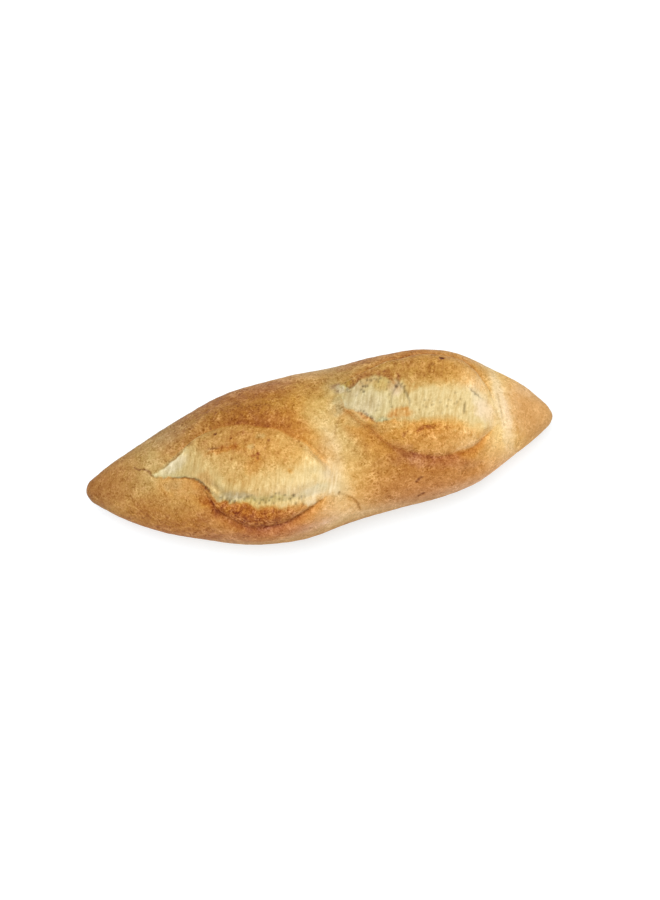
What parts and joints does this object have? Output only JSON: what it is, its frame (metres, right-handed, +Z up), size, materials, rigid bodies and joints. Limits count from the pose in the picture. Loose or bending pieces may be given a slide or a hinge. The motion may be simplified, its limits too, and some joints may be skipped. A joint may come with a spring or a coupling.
{
  "type": "baguette",
  "caption": "Small crusty loaf of white bread with pointed tips, a snaking outline and slanting cuts that opened into torn, pale ridges, on a flat base.",
  "frame": {"origin": "centre of the loaf's bounding box, on the surface it rests on", "axes": "+X along the loaf towards its paler, blunter tip, +Z up, +Y to the side that the right-hand cut leans over"},
  "size_m": [0.2, 0.0726, 0.045],
  "materials": {
    "crust": "matt baked crust, golden brown with darker brown lobes and pale cream tears in the cuts"
  },
  "bodies": {
    "root": {"baguette": "crust"}
  },
  "joints": []
}
